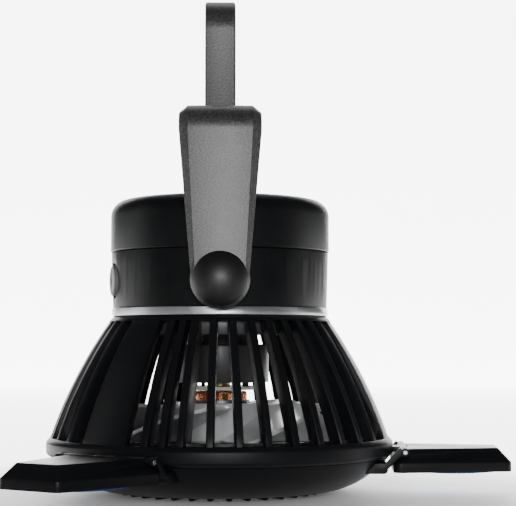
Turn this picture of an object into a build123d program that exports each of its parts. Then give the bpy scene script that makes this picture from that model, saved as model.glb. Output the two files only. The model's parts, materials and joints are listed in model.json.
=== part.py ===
from build123d import *
import os
from math import cos, radians, sin

# A camping fan lantern. Millimetres, +Z up. The origin is the centre of the flat bottom of the
# front grille, which the lantern stands on. Angles are in degrees from +X, towards +Y. The handle
# swings about a line along Y, and the hook folds about a line along X.

# Front grille and outer ring
GRILLE_RADIUS = 79.5
GRILLE_FLAT_RADIUS = 57.0
GRILLE_BELLY = (72.3, 9.3)
GRILLE_TOP_Z = 17.0
GRILLE_PLATE_Z = 2.0
RIB_COUNT = 36
RIB_END_RADIUS = 50.0
RIB_WIDTH = 3.1
RIB_TOP_Z = 4.6
GRILLE_HUB_RADIUS = 24.0
RING_RADIUS = 82.5
RING_BORE_RADIUS = 76.5
RING_BOTTOM_Z = 17.3
RING_TOP_Z = 26.2
RING_SCREW_X = 74.3

# Fan cage: the outer face is an arc through three points, as (radius, z)
CAGE_FOOT = (80.4, RING_TOP_Z)
CAGE_WAIST = (68.3, 55.0)
CAGE_SHOULDER = (52.3, 81.5)
CAGE_TOP_Z = 83.4
CAGE_RIM_Z = 80.8
CAGE_RIM_RADIUS = 51.6
SLAT_PITCHES = 39
SLAT_WIDTH = 3.5
SLAT_DEPTH = 7.0
DEEP_SLAT_DEPTH = 14.0
DEEP_SLAT_PLACE = 3
CLOSE_SLAT_PLACES = (1.70, 2.35)
DUCT_ANGLE = -10.0
DUCT_WALL = 4.0
CAGE_FOOT_TOP_Z = RING_TOP_Z + 1.2
CAGE_FOOT_BORE = 72.0
LEAD_RADIUS = 0.7

# Housing, from the trim ring up to the lid
TRIM_TOP_Z = 87.1
TRIM_RADIUS = 51.8
TRIM_BORE_RADIUS = 41.5
HOUSING_BASE_RADIUS = 51.3
HOUSING_TOP_RADIUS = 52.1
HOUSING_TOP_Z = 113.8
HOUSING_WALL = 2.4
HOUSING_SCREW_X = 44.2
HOUSING_SCREW_RADIUS = 1.5
HOUSING_SCREW_ANGLE = 60.0
LID_RADIUS = 52.5
LID_TOP_Z = 140.4
LID_ROUND = 8.0
LID_DOME = 1.6
LID_WALL = 2.2

# Handle and hook
PIVOT_Z = 99.1
ARM_INNER_Y = 54.0
ARM_THICKNESS = 6.0
ARM_END_RADIUS = 13.4
ARM_FOOT_SECTION = (11.1, 12.9, 1.6)
ARM_HEAD_SECTION = (14.65, 18.65, 3.2)
HANDLE_TOP_Z = 178.0
HANDLE_BEND = 12.0
KNOB_RADIUS = 12.3
KNOB_HEIGHT = 7.0
PIVOT_SCREW_RADIUS = 2.5
PIVOT_HEAD_RADIUS = 5.0
PIVOT_PAD_Y = 53.2
HOOK_WIDTH = 14.6
HOOK_THICKNESS = 4.0
HOOK_BEND = 14.0
HOOK_CREST_Z = 236.0
HOOK_TIP_Z = 199.0
HOOK_PIVOT_Z = 180.4
HOOK_EYE_RADIUS = 3.2
HOOK_PIN_RADIUS = 1.6
HOOK_EAR = 3.0

# Fan and motor
HUB_RADIUS = 20.0
HUB_BOTTOM_Z = 23.6
HUB_TOP_Z = 42.3
HUB_BORE_RADIUS = 17.2
BLADE_COUNT = 5
BLADE_ANGLE = -90.0
BLADE_TIP_RADIUS = 54.0
BLADE_THICKNESS = 1.6
BLADE_ROOT = (0.0, 88.0, 24.6, 40.6)
BLADE_TIP = (12.4, 68.0, 24.9, 41.6)
SHAFT_RADIUS = 1.5
BEARING_RADIUS = 3.2
BEARING_TUBE_RADIUS = 5.0
CORE_RADIUS = 14.2
CORE_BOTTOM_Z = 33.0
CORE_TOP_Z = 43.5
COIL_COUNT = 9
COIL_BOTTOM_Z = 29.0
COIL_TOP_Z = 47.8
MOTOR_BOARD_RADIUS = 18.2
MOTOR_BOARD_Z = 48.4
MOTOR_BOARD_TOP_Z = 50.0
MOTOR_CUP_RADIUS = 23.4
MOTOR_CUP_Z = 52.0
MOTOR_CUP_TOP_Z = 70.0
MOTOR_NECK_RADIUS = 16.0
COLLAR_RADIUS = 47.0
COLLAR_BOTTOM_Z = 74.5

# Lamp wings, drawn with the radius along +X and then turned into place
WING_COUNT = 3
WING_ANGLE = -4.5
WING_INNER_X = 82.0
WING_OUTER_X = 137.0
WING_INNER_WIDTH = 56.0
WING_OUTER_WIDTH = 32.0
WING_CORNER = 3.4
WING_BEVEL = 5.8
WING_TOP_Z = 21.7
WING_BEVEL_Z = 15.4
WING_RIM_Z = 11.1
WING_WALL = 1.8
WING_SCREW_RADIUS = 1.1
LENS_BOTTOM_Z = 9.3
LENS_CURVE = 189.0
LENS_SEAT_Z = 12.6
WING_BOARD_Z = 14.2
WING_BOARD_TOP_Z = 15.8
LED_COLUMNS = 5
LED_ROWS = 3
LED_SIZE = 3.0
HINGE_X = 87.3
HINGE_Z = 20.5
KNUCKLE_RADIUS = 1.9
KNUCKLE_HALF_WIDTH = 22.4
LUG_HALF_WIDTH = 6.0
HINGE_PIN_RADIUS = 1.1
ARM_LOW_Y = 22.9
ARM_HIGH_Y = 26.6

# Button, its switch and the charging socket
BUTTON_ANGLE = -166.0
BUTTON_Z = 100.0
BUTTON_RADIUS = 7.2
BUTTON_FACE = 52.7
SWITCH_BOARD_X = 40.0
SOCKET_ANGLE = 20.0
SOCKET_Z = 97.3
SOCKET_WIDTH = 9.0
SOCKET_HEIGHT = 3.2
SOCKET_MOUTH = 50.6

# Control board, battery tray and cells
BOARD_Z = 94.0
BOARD_TOP_Z = 95.6
BOARD_SIZE = (40.0, 31.0)
BOARD_X = 24.0
TRAY_Z = 111.0
TRAY_FLOOR = 1.8
TRAY_SIZE = (71.0, 60.0)
CELL_RADIUS = 9.2
CELL_LENGTH = 65.0
CELL_SPACING = 19.0
CELL_COUNT = 3
CELL_Z = 123.6
SMALL_SCREW_RADIUS = 1.3
SMALL_SCREW_HEAD = 2.4

# Running clearance on a radius, and the gap between parts that only pass each other
RUNNING = 0.06
GAP = 0.3

MID = Align.CENTER
FLAT = Align.MIN


def post(radius, low_z, high_z, x=0, y=0):
    """An upright cylinder between two heights."""
    return Pos(x, y, low_z) * Cylinder(radius, high_z - low_z, align=(MID, MID, FLAT))


def tube(outer, inner, low_z, high_z, x=0, y=0):
    """An upright tube between two heights."""
    return post(outer, low_z, high_z, x, y) - post(inner, low_z, high_z, x, y)


def slab(size_x, size_y, low_z, high_z, x=0, y=0):
    """A box between two heights."""
    return Pos(x, y, low_z) * Box(size_x, size_y, high_z - low_z, align=(MID, MID, FLAT))


def bar_x(radius, low_x, high_x, y=0, z=0):
    """A cylinder along X."""
    return Pos(low_x, y, z) * Rot(0, 90, 0) * Cylinder(radius, high_x - low_x, align=(MID, MID, FLAT))


def bar_y(radius, low_y, high_y, x=0, z=0):
    """A cylinder along Y."""
    return Pos(x, low_y, z) * Rot(-90, 0, 0) * Cylinder(radius, high_y - low_y, align=(MID, MID, FLAT))


def turned(*lines):
    """A solid turned about Z from a closed run of lines drawn as (radius, z)."""
    return revolve(Plane.XZ * make_face(Curve() + list(lines)), Axis.Z)


def turned_outline(*points):
    """A solid turned about Z from a closed outline of (radius, z) points."""
    return turned(Polyline(*points, close=True))


def dome_arc(radius, rim_z, top_z):
    """A spherical dome's outline, from its rim up to the axis."""
    rise = top_z - rim_z
    ball = (radius ** 2 + rise ** 2) / (2 * rise)
    middle_z = top_z - ball + (ball ** 2 - radius ** 2 / 4) ** 0.5
    return ThreePointArc((radius, rim_z), (radius / 2, middle_z), (0, top_z))


def around(count, start=0.0):
    """Evenly spaced angles about Z."""
    return [start + 360.0 * step / count for step in range(count)]


def turn(angle, shape):
    """A shape turned about Z."""
    return Rot(0, 0, angle) * shape


def group(shapes):
    """Separate solids that share one node."""
    return Compound(children=[solid for shape in shapes for solid in shape.solids()])


def both_sides(shape):
    """A shape and its mirror image across the XZ plane."""
    return [shape, mirror(shape, about=Plane.XZ)]


def screw(radius, head_radius, head_height, low_z, high_z, x=0, y=0):
    """An upright screw for a hole of the given radius, with a flat head; low_z is its tip."""
    shank = post(radius - 0.05, low_z, high_z - head_height, x, y)
    head = post(head_radius, high_z - head_height, high_z, x, y)
    slot = slab(2 * head_radius - 1, 0.8, high_z - 0.7, high_z, x, y)
    cross = slab(0.8, 2 * head_radius - 1, high_z - 0.7, high_z, x, y)
    return shank + head - slot - cross


# ---- Front grille and outer ring

def grille_shell():
    outer = ThreePointArc((GRILLE_RADIUS, GRILLE_TOP_Z), GRILLE_BELLY, (GRILLE_FLAT_RADIUS, GRILLE_PLATE_Z))
    neck_inner_radius = GRILLE_RADIUS - 7.2
    inner_belly = (GRILLE_BELLY[0] - 2.6, GRILLE_BELLY[1] + 1.5)
    inner_top = (neck_inner_radius, GRILLE_TOP_Z - 2.2)
    inner = ThreePointArc(inner_top, inner_belly, (GRILLE_FLAT_RADIUS - 1.0, RIB_TOP_Z))
    mouth_radius = RIB_END_RADIUS - 2.0
    floor = Polyline(
        outer @ 1,
        (mouth_radius, GRILLE_PLATE_Z),
        (mouth_radius, RIB_TOP_Z),
        inner @ 1,
    )
    neck_radius = RING_BORE_RADIUS - 0.2
    neck = Polyline(
        inner @ 0,
        (neck_inner_radius, GRILLE_TOP_Z + 2.0),
        (neck_radius, GRILLE_TOP_Z + 2.0),
        (neck_radius, GRILLE_TOP_Z),
        outer @ 0,
    )
    return turned(outer, floor, inner, neck)


def grille_rib():
    inner_x = GRILLE_HUB_RADIUS - 2.0
    nose_x = RIB_END_RADIUS - RIB_WIDTH / 2
    bar = slab(nose_x - inner_x, RIB_WIDTH, 0, RIB_TOP_Z, x=(nose_x + inner_x) / 2)
    rib = bar + post(RIB_WIDTH / 2, 0, RIB_TOP_Z, x=nose_x)
    low_edges = rib.edges().group_by(Axis.Z)[0]
    return fillet([edge for edge in low_edges if edge.center().X > inner_x + 1], 1.2)


def front_grille():
    hub = post(GRILLE_HUB_RADIUS, 0, RIB_TOP_Z)
    hub = chamfer(hub.edges().group_by(Axis.Z)[0], 0.8)
    stiffener = tube(37.4, 35.6, 1.6, 4.0)
    ribs = [turn(angle, grille_rib()) for angle in around(RIB_COUNT, 5.0)]
    hole = post(SMALL_SCREW_RADIUS, GRILLE_TOP_Z - 3, GRILLE_TOP_Z + 3, x=RING_SCREW_X)
    holes = [turn(angle, hole) for angle in grille_screw_angles()]
    return grille_shell() + hub + stiffener + ribs - holes


def hinge_lug():
    """The middle knuckle of a wing's hinge, standing out from the ring."""
    root_x = RING_RADIUS - 2.0
    width = 2 * LUG_HALF_WIDTH
    web = slab(HINGE_X - root_x, width, HINGE_Z - 1.2, HINGE_Z + 1.2, x=(HINGE_X + root_x) / 2)
    return web + hinge_bar(KNUCKLE_RADIUS, -LUG_HALF_WIDTH, LUG_HALF_WIDTH)


def outer_ring():
    low = RING_BOTTOM_Z
    ring = turned_outline(
        (RING_BORE_RADIUS, low),
        (GRILLE_RADIUS + 0.6, low),
        (RING_RADIUS - 0.5, low + 1.2),
        (RING_RADIUS, low + 2.0),
        (RING_RADIUS, RING_TOP_Z - 2.2),
        (RING_RADIUS - 0.5, RING_TOP_Z - 1.4),
        (CAGE_FOOT[0] + 0.4, RING_TOP_Z),
        (RING_BORE_RADIUS, RING_TOP_Z),
    )
    wing_angles = around(WING_COUNT, WING_ANGLE)
    bores = [turn(angle, hinge_bar(HINGE_PIN_RADIUS, -10.0, 10.0)) for angle in wing_angles]
    return ring + [turn(angle, hinge_lug()) for angle in wing_angles] - bores


def grille_screw_angles():
    """Each screw is between two slats of the cage."""
    pitch = 360.0 / SLAT_PITCHES
    first = [DUCT_ANGLE + pitch * (step + 0.5) for step in (4, 10)]
    return [angle + third for third in around(WING_COUNT) for angle in first]


def grille_screws():
    """Screws down through the cage's foot into the neck of the grille."""
    low = GRILLE_TOP_Z - 2.0
    high = RING_TOP_Z - 2.0
    one = screw(SMALL_SCREW_RADIUS, SMALL_SCREW_HEAD - 0.8, 1.4, low, high, x=RING_SCREW_X)
    return group([turn(angle, one) for angle in grille_screw_angles()])


# ---- Fan cage

def cage_arc(inset):
    """The cage's outer face, moved in towards the axis."""
    return ThreePointArc(*[(radius - inset, z) for radius, z in (CAGE_FOOT, CAGE_WAIST, CAGE_SHOULDER)])


def cage_strip(depth):
    """The outline of a slat, in the plane of the axis."""
    outer = cage_arc(0)
    inner = cage_arc(depth)
    lines = [outer, Line(outer @ 1, inner @ 1), inner, Line(inner @ 0, outer @ 0)]
    return Plane.XZ * make_face(Curve() + lines)


def cage_slat(depth):
    slat = extrude(cage_strip(depth), SLAT_WIDTH / 2, both=True)
    long_edges = [edge for edge in slat.edges() if edge.length > 50]
    outer_edges = [edge for edge in long_edges if (edge @ 0.5).X > CAGE_WAIST[0] - depth / 2]
    return chamfer(outer_edges, 0.5)


def cage_duct():
    """A closed strip of the cage, two pitches wide, with a lamp lead behind it."""
    width = 2 * 360.0 / SLAT_PITCHES
    return turn(-width / 2, revolve(cage_strip(DUCT_WALL), Axis.Z, width))


def cage():
    rim = turned_outline(
        (COLLAR_RADIUS - 1.0, CAGE_RIM_Z),
        (CAGE_SHOULDER[0] + 1.0, CAGE_RIM_Z),
        (CAGE_RIM_RADIUS, CAGE_TOP_Z - 0.9),
        (CAGE_RIM_RADIUS - 0.9, CAGE_TOP_Z),
        (COLLAR_RADIUS - 1.0, CAGE_TOP_Z),
    )
    foot = tube(RING_BORE_RADIUS - 0.2, CAGE_FOOT_BORE, GRILLE_TOP_Z + 2.2, CAGE_FOOT_TOP_Z)
    pitch = 360.0 / SLAT_PITCHES
    last_place = SLAT_PITCHES // WING_COUNT - 2
    slat_places = (*CLOSE_SLAT_PLACES, *range(DEEP_SLAT_PLACE + 1, last_place + 1))
    pieces = []
    for angle in around(WING_COUNT, DUCT_ANGLE):
        pieces.append(turn(angle, cage_duct()))
        pieces.append(turn(angle + pitch * DEEP_SLAT_PLACE, cage_slat(DEEP_SLAT_DEPTH)))
        pieces += [turn(angle + pitch * place, cage_slat(SLAT_DEPTH)) for place in slat_places]
    sink = post(SMALL_SCREW_RADIUS, GRILLE_TOP_Z, RING_TOP_Z, x=RING_SCREW_X)
    sink += post(SMALL_SCREW_HEAD - 0.8, RING_TOP_Z - 3.4, CAGE_FOOT_TOP_Z + 1.0, x=RING_SCREW_X)
    sinks = [turn(angle, sink) for angle in grille_screw_angles()]
    collar_room = post(COLLAR_RADIUS + 0.2, COLLAR_BOTTOM_Z - 0.4, CAGE_TOP_Z + 1.0)
    return rim + foot + pieces - sinks - collar_room


def wing_leads():
    """The leads of the lamps, each along the inside of its duct."""
    path = Plane.XZ * cage_arc(DUCT_WALL + LEAD_RADIUS + 0.3)
    start = Plane(origin=path @ 0, z_dir=path % 0)
    lead = sweep(start * Circle(LEAD_RADIUS), path=path)
    room = tube(CAGE_FOOT[0], 40.0, CAGE_FOOT_TOP_Z + 0.3, CAGE_RIM_Z - 0.6)
    return group([turn(angle, lead & room) for angle in around(WING_COUNT, DUCT_ANGLE)])


# ---- Housing

def housing_screw_holes(low_z, high_z):
    hole = post(HOUSING_SCREW_RADIUS, low_z, high_z, x=HOUSING_SCREW_X)
    return [turn(angle, hole) for angle in around(4, HOUSING_SCREW_ANGLE)]


def trim_ring():
    ring = tube(TRIM_RADIUS, TRIM_BORE_RADIUS, CAGE_TOP_Z, TRIM_TOP_Z)
    rims = [edge for edge in ring.edges().filter_by(GeomType.CIRCLE) if edge.radius > TRIM_RADIUS - 1]
    return fillet(rims, 0.3) - housing_screw_holes(CAGE_TOP_Z, TRIM_TOP_Z)


def along_button(radius, near, far):
    """A cylinder on the button's axis, between two distances from the lantern's axis."""
    return turn(BUTTON_ANGLE, bar_x(radius, near, far, z=BUTTON_Z))


def socket_block(width, height, near, far, rounding):
    """A rounded block along the socket's direction, between two distances from the axis."""
    face = Plane.YZ * RectangleRounded(width, height, rounding)
    return turn(SOCKET_ANGLE, Pos(near, 0, SOCKET_Z) * extrude(face, far - near))


def tray_spots():
    """Where the battery tray is screwed down."""
    return [(x, y) for x in (-28.0, 28.0) for y in (-31.0, 31.0)]


def board_spots():
    """Where the control board is held, in the frame of the socket."""
    half_x = BOARD_SIZE[0] / 2 - 3.5
    half_y = BOARD_SIZE[1] / 2 - 3.5
    return [(BOARD_X + x, y) for x in (-half_x, half_x - 6) for y in (-half_y, half_y)]


def housing_shell():
    base = Pos(0, 0, TRIM_TOP_Z) * Circle(HOUSING_BASE_RADIUS)
    top = Pos(0, 0, HOUSING_TOP_Z) * Circle(HOUSING_TOP_RADIUS)
    outer = loft([base, top])
    outer = fillet(outer.edges().group_by(Axis.Z)[0], 0.6)
    outer = chamfer(outer.edges().group_by(Axis.Z)[-1], 0.5)
    bore_radius = HOUSING_BASE_RADIUS - HOUSING_WALL
    return outer - post(bore_radius, TRIM_TOP_Z + HOUSING_WALL, HOUSING_TOP_Z + 1)


def lower_housing():
    floor_z = TRIM_TOP_Z + HOUSING_WALL
    pads = both_sides(bar_y(12.0, 47.0, PIVOT_PAD_Y, z=PIVOT_Z))
    tray_posts = [post(3.0, floor_z, TRAY_Z, *spot) for spot in tray_spots()]
    board_posts = [turn(SOCKET_ANGLE, post(2.4, floor_z, BOARD_Z, *spot)) for spot in board_spots()]
    shape = housing_shell() + pads + tray_posts + board_posts
    shape -= bar_y(PIVOT_SCREW_RADIUS, -ARM_INNER_Y, ARM_INNER_Y, z=PIVOT_Z)
    shape -= post(9.0, TRIM_TOP_Z, floor_z)
    shape -= [post(SMALL_SCREW_RADIUS, TRAY_Z - 9, TRAY_Z, *spot) for spot in tray_spots()]
    shape -= housing_screw_holes(TRIM_TOP_Z, floor_z)
    shape -= along_button(BUTTON_RADIUS + GAP, 42.0, 60.0)
    shape -= along_button(BUTTON_RADIUS + 1.3, BUTTON_FACE - 2.0, 60.0)
    shape -= socket_block(SOCKET_WIDTH + 0.2, SOCKET_HEIGHT + 0.2, 42.0, 60.0, SOCKET_HEIGHT / 2)
    shape -= socket_block(SOCKET_WIDTH + 4.0, SOCKET_HEIGHT + 3.4, SOCKET_MOUTH, 60.0, 2.6)
    return shape


def lid():
    corner = LID_RADIUS - LID_ROUND
    crown_z = LID_TOP_Z - LID_DOME
    bend_z = crown_z - LID_ROUND
    middle = LID_ROUND * sin(radians(45))
    wall = Line((LID_RADIUS, HOUSING_TOP_Z), (LID_RADIUS, bend_z))
    round_over = ThreePointArc(wall @ 1, (corner + middle, bend_z + middle), (corner, crown_z))
    crown = dome_arc(corner, crown_z, LID_TOP_Z)
    bore = LID_RADIUS - LID_WALL
    lip = bore - 1.5
    inside = Polyline(
        crown @ 1,
        (0, LID_TOP_Z - LID_WALL),
        (corner, crown_z - LID_WALL),
        (bore - 1.7, bend_z + 1.7),
        (bore, bend_z - 2.0),
        (bore, HOUSING_TOP_Z + 2.4),
        (lip - 1.8, HOUSING_TOP_Z + 2.4),
        (lip - 1.8, HOUSING_TOP_Z - 2.2),
        (lip, HOUSING_TOP_Z - 2.2),
        (lip, HOUSING_TOP_Z),
        wall @ 0,
    )
    shell = turned(wall, round_over, crown, inside)
    groove = tube(32.0, 31.2, LID_TOP_Z - 2.0, LID_TOP_Z)
    low_rim = [edge for edge in shell.edges().filter_by(GeomType.CIRCLE) if edge.radius > LID_RADIUS - 0.1]
    return chamfer(sorted(low_rim, key=lambda edge: edge.center().Z)[0], 0.4) - groove


def housing_screws():
    """Screws from inside the housing, through the trim ring, into the cage and the collar."""
    top = TRIM_TOP_Z + HOUSING_WALL + 1.8
    one = screw(HOUSING_SCREW_RADIUS, 2.8, 1.8, COLLAR_BOTTOM_Z + 1.0, top, x=HOUSING_SCREW_X)
    return group([turn(angle, one) for angle in around(4, HOUSING_SCREW_ANGLE)])


# ---- Button and its switch

def button():
    plunger = along_button(BUTTON_RADIUS, 46.4, BUTTON_FACE)
    front = [edge for edge in plunger.edges() if hypot_xy(edge.center()) > BUTTON_FACE - 0.1]
    plunger = fillet(front, 0.6)
    flange = along_button(BUTTON_RADIUS + 1.4, 46.4, 47.6)
    stem = along_button(2.0, 44.9, 46.4)
    mark = along_button(1.1, BUTTON_FACE - 0.3, BUTTON_FACE)
    return plunger + flange + stem - mark


def hypot_xy(point):
    """A point's distance from the lantern's axis."""
    return (point.X ** 2 + point.Y ** 2) ** 0.5


def switch_board():
    board = Pos(SWITCH_BOARD_X, 0, BUTTON_Z - 1.0) * Box(1.6, 20.0, 18.8, align=(FLAT, MID, MID))
    return turn(BUTTON_ANGLE, board)


def power_switch():
    body = Pos(SWITCH_BOARD_X + 1.6, 0, BUTTON_Z) * Box(2.2, 6.0, 6.0, align=(FLAT, MID, MID))
    tip = bar_x(1.5, SWITCH_BOARD_X + 3.6, SWITCH_BOARD_X + 3.8, z=BUTTON_Z)
    return turn(BUTTON_ANGLE, body + tip)


# ---- Control board, charging socket and battery

def control_board():
    board = slab(*BOARD_SIZE, BOARD_Z, BOARD_TOP_Z, x=BOARD_X)
    notch = slab(20.0, 10.0, BOARD_Z, BOARD_TOP_Z)
    holes = [post(SMALL_SCREW_RADIUS, BOARD_Z, BOARD_TOP_Z, *spot) for spot in board_spots()]
    return turn(SOCKET_ANGLE, board - notch - holes)


def board_parts():
    """The chips, coil and capacitors on the control board."""
    chip = slab(7.0, 7.0, BOARD_TOP_Z, BOARD_TOP_Z + 1.2, x=22, y=1)
    coil = slab(8.0, 8.0, BOARD_TOP_Z, BOARD_TOP_Z + 4.0, x=26, y=-11)
    capacitors = [post(2.5, BOARD_TOP_Z, BOARD_TOP_Z + 6.0, x=14 + 7 * step, y=12) for step in range(3)]
    plugs = [slab(6.0, 5.0, BOARD_TOP_Z, BOARD_TOP_Z + 4.5, x=x, y=-8) for x in (10, 18)]
    return group([turn(SOCKET_ANGLE, shape) for shape in [chip, coil] + capacitors + plugs])


def charge_socket():
    shell = socket_block(SOCKET_WIDTH, SOCKET_HEIGHT, 43.0, SOCKET_MOUTH, SOCKET_HEIGHT / 2 - 0.01)
    mouth_height = SOCKET_HEIGHT - 0.6
    mouth = socket_block(SOCKET_WIDTH - 0.6, mouth_height, 44.0, SOCKET_MOUTH, mouth_height / 2 - 0.01)
    tongue = socket_block(6.7, 0.7, 43.5, SOCKET_MOUTH - 0.8, 0.2)
    feet = turn(SOCKET_ANGLE, slab(5.0, 7.0, BOARD_TOP_Z, SOCKET_Z - 1.2, x=45.6))
    return shell - mouth + tongue + feet


def battery_tray():
    floor = slab(*TRAY_SIZE, TRAY_Z, TRAY_Z + TRAY_FLOOR)
    ears = [post(4.5, TRAY_Z, TRAY_Z + TRAY_FLOOR, *spot) for spot in tray_spots()]
    wall_x = CELL_LENGTH / 2 + 1.0 + 0.8
    ends = [slab(1.6, 56.0, TRAY_Z, CELL_Z + 4.0, x=side * wall_x) for side in (-1, 1)]
    ribs = [slab(56.0, 1.2, TRAY_Z, CELL_Z - 5.0, y=side * CELL_SPACING / 2) for side in (-1, 1)]
    shape = floor + ears + ends + ribs
    shape -= [cell for cell in cells(CELL_RADIUS + 0.1)]
    return shape - [post(SMALL_SCREW_RADIUS, TRAY_Z, TRAY_Z + TRAY_FLOOR, *spot) for spot in tray_spots()]


def cells(radius):
    half = CELL_LENGTH / 2
    rows = range(CELL_COUNT)
    middle = (CELL_COUNT - 1) / 2
    return [bar_x(radius, -half, half, y=(row - middle) * CELL_SPACING, z=CELL_Z) for row in rows]


def battery_cells():
    return group([chamfer(cell.edges().filter_by(GeomType.CIRCLE), 0.6) for cell in cells(CELL_RADIUS)])


def battery_tabs():
    """The contact plates at both ends of the cells."""
    half = CELL_LENGTH / 2
    return group([
        Pos(x, 0, CELL_Z) * Box(0.6, 50.0, 8.0, align=(MID, MID, MID)) for x in (-half - 0.6, half + 0.6)
    ])


def tray_screws():
    top = TRAY_Z + TRAY_FLOOR + 1.4
    one = [screw(SMALL_SCREW_RADIUS, SMALL_SCREW_HEAD, 1.4, TRAY_Z - 7, top, *spot) for spot in tray_spots()]
    return group(one)


# ---- Fan and motor

def motor_bracket():
    """The collar, neck and cup that hang the motor under the housing."""
    body = turned_outline(
        (9.5, CAGE_TOP_Z),
        (COLLAR_RADIUS, CAGE_TOP_Z),
        (COLLAR_RADIUS, COLLAR_BOTTOM_Z),
        (COLLAR_RADIUS - 2.2, COLLAR_BOTTOM_Z),
        (COLLAR_RADIUS - 2.2, CAGE_TOP_Z - 2.6),
        (MOTOR_NECK_RADIUS, CAGE_TOP_Z - 2.6),
        (MOTOR_NECK_RADIUS, MOTOR_CUP_TOP_Z),
        (MOTOR_CUP_RADIUS - 0.8, MOTOR_CUP_TOP_Z),
        (MOTOR_CUP_RADIUS, MOTOR_CUP_TOP_Z - 0.8),
        (MOTOR_CUP_RADIUS, MOTOR_CUP_Z),
        (MOTOR_CUP_RADIUS - 2.0, MOTOR_CUP_Z),
        (MOTOR_CUP_RADIUS - 2.0, MOTOR_CUP_TOP_Z - 3.0),
        (MOTOR_NECK_RADIUS - 2.4, MOTOR_CUP_TOP_Z - 3.0),
        (MOTOR_NECK_RADIUS - 2.4, CAGE_TOP_Z - 2.6),
        (9.5, CAGE_TOP_Z - 2.6),
    )
    boss = post(2.8, COLLAR_BOTTOM_Z, CAGE_TOP_Z, x=HOUSING_SCREW_X)
    bosses = [turn(angle, boss) for angle in around(4, HOUSING_SCREW_ANGLE)]
    plate = post(MOTOR_NECK_RADIUS, MOTOR_CUP_Z, MOTOR_CUP_Z + 2.0)
    spoke = slab(22.0, 5.0, MOTOR_CUP_Z, MOTOR_CUP_Z + 2.0, x=11.0)
    spoke += post(1.6, MOTOR_BOARD_TOP_Z, MOTOR_CUP_Z, x=14.0)
    spokes = [turn(angle, spoke) for angle in around(3, 90.0)]
    shape = body + bosses + plate + spokes
    shape -= housing_screw_holes(COLLAR_BOTTOM_Z, CAGE_TOP_Z)
    shape -= post(BEARING_TUBE_RADIUS, MOTOR_BOARD_TOP_Z - 1, MOTOR_CUP_Z)
    shape -= [post(1.2, MOTOR_CUP_Z, MOTOR_CUP_Z + 2.0, x=x) for x in (-8.0, 8.0)]
    return shape


def motor_board():
    board = tube(MOTOR_BOARD_RADIUS, BEARING_TUBE_RADIUS, MOTOR_BOARD_Z, MOTOR_BOARD_TOP_Z)
    return board - [post(1.2, MOTOR_BOARD_Z, MOTOR_BOARD_TOP_Z, x=x) for x in (-8.0, 8.0)]


def motor_leads():
    """The motor's two leads, up from its board into the housing."""
    return group([post(0.9, MOTOR_BOARD_TOP_Z, BOARD_Z, x=x * 8.0) for x in (-1, 1)])


def bearing_tube():
    return tube(BEARING_TUBE_RADIUS, BEARING_RADIUS, HUB_BOTTOM_Z + 4.6, MOTOR_CUP_Z)


def bearings():
    low = tube(BEARING_RADIUS, SHAFT_RADIUS + RUNNING, HUB_BOTTOM_Z + 5.4, HUB_BOTTOM_Z + 9.0)
    high = tube(BEARING_RADIUS, SHAFT_RADIUS + RUNNING, MOTOR_CUP_Z - 6.0, MOTOR_CUP_Z - 2.4)
    return group([low, high])


def core_tooth():
    """One tooth of the stator, with its broad tip."""
    inner_x = BEARING_TUBE_RADIUS + 1.0
    outer_x = CORE_RADIUS - 0.6
    arm = slab(outer_x - inner_x, 2.4, CORE_BOTTOM_Z, CORE_TOP_Z, x=(inner_x + outer_x) / 2)
    tip_band = tube(CORE_RADIUS, CORE_RADIUS - 1.2, CORE_BOTTOM_Z, CORE_TOP_Z)
    return arm + (tip_band & slab(8.0, 7.6, CORE_BOTTOM_Z, CORE_TOP_Z, x=CORE_RADIUS))


def stator_core():
    yoke = tube(BEARING_TUBE_RADIUS + 2.0, BEARING_TUBE_RADIUS, CORE_BOTTOM_Z, CORE_TOP_Z)
    return yoke + [turn(angle, core_tooth()) for angle in around(COIL_COUNT)]


def stator_coil():
    """One coil, wound round a tooth of the core."""
    middle_x = 10.0
    block = slab(5.0, 5.6, COIL_BOTTOM_Z, COIL_TOP_Z, x=middle_x)
    block = fillet(block.edges().filter_by(Axis.X), 2.4)
    wedge_cut = slab(6.0, 10.0, COIL_BOTTOM_Z, COIL_TOP_Z, x=middle_x, y=5.0 + 2.75)
    cuts = [Pos(-middle_x, 0, 0) * wedge_cut]
    narrow = [Pos(middle_x, 0, 0) * Rot(0, 0, 12) * cuts[0]]
    block -= narrow + [mirror(narrow[0], about=Plane.XZ)]
    return block - slab(7.0, 2.4, CORE_BOTTOM_Z, CORE_TOP_Z, x=middle_x)


def stator_windings():
    return group([turn(angle, stator_coil()) for angle in around(COIL_COUNT)])


def blade_point(across, along):
    """A point of a blade's middle surface: across from hub to tip, along from low edge to high edge."""
    radius = (HUB_RADIUS - 1.2) * (1 - across) + BLADE_TIP_RADIUS * across
    ease = across ** 0.8
    start, end, low_z, high_z = [
        root * (1 - ease) + tip * ease for root, tip in zip(BLADE_ROOT, BLADE_TIP)
    ]
    angle = radians(BLADE_ANGLE + start + (end - start) * along)
    crown = 1.5 * sin(radians(180 * along)) * across
    return (radius * cos(angle), radius * sin(angle), low_z + (high_z - low_z) * along + crown)


def fan_blade():
    steps = [[blade_point(across / 6, along / 10) for along in range(11)] for across in range(7)]
    surface = Face.make_surface_from_array_of_points(steps)
    return thicken(surface, amount=BLADE_THICKNESS / 2, both=True)


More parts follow.
